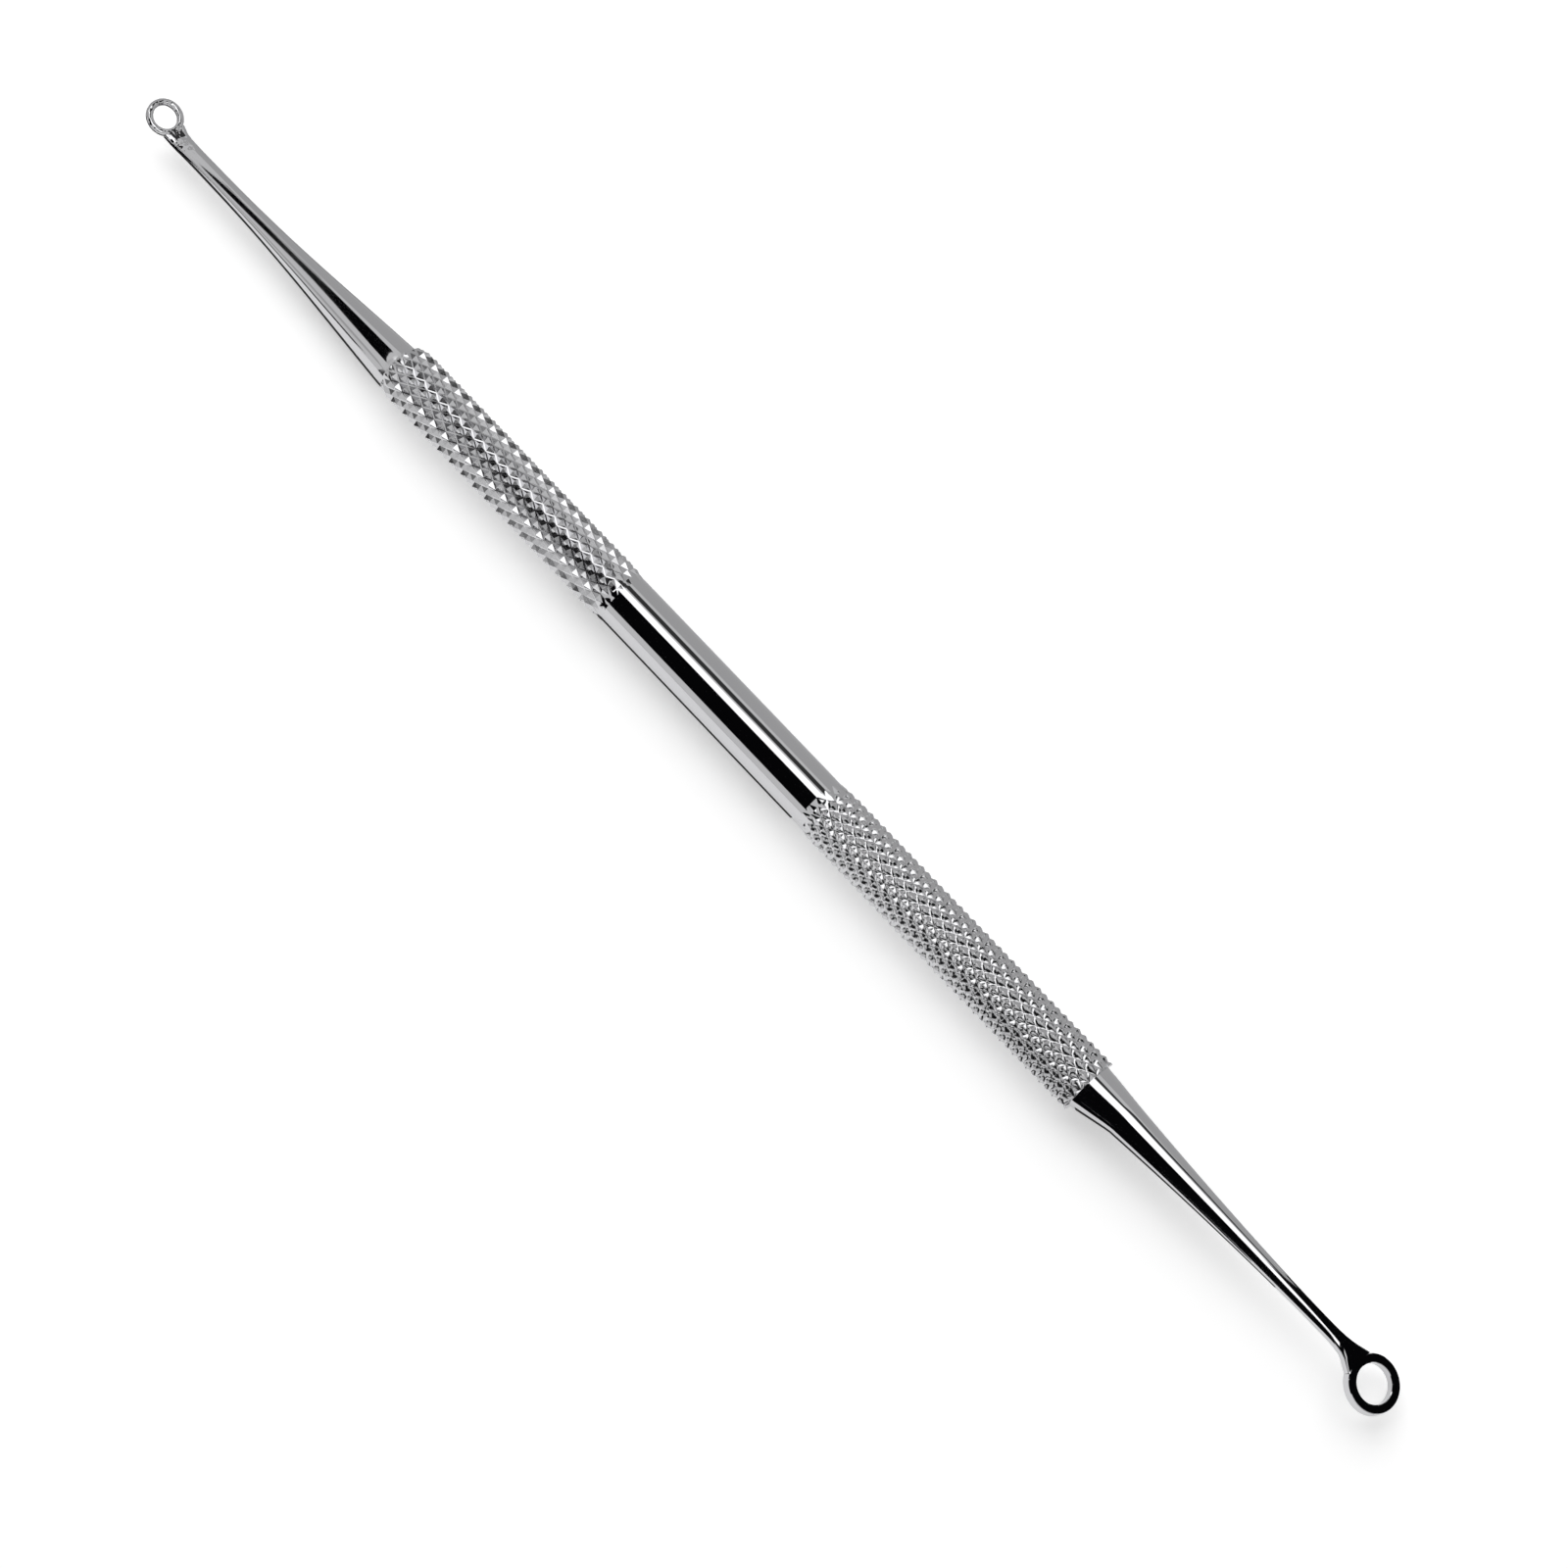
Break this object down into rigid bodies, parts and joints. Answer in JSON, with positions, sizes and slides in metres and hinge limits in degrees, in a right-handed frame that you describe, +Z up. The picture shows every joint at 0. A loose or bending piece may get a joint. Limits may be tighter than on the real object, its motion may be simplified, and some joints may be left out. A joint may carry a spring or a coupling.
{
  "type": "comedone extractor",
  "caption": "Slim double-ended steel skin tool with a diamond-knurled handle, a tapered neck at each end and an angled open ring on each neck, one small and one large.",
  "frame": {"origin": "centre of the tool's box on the floor it lies on", "axes": "+X along the handle towards the large ring, +Z up as the tool lies on its knurling"},
  "size_m": [0.1248, 0.0044, 0.0044],
  "materials": {
    "polished_steel": "mirror-polished stainless steel"
  },
  "bodies": {
    "root": {"extractor_body": "polished_steel"}
  },
  "joints": []
}
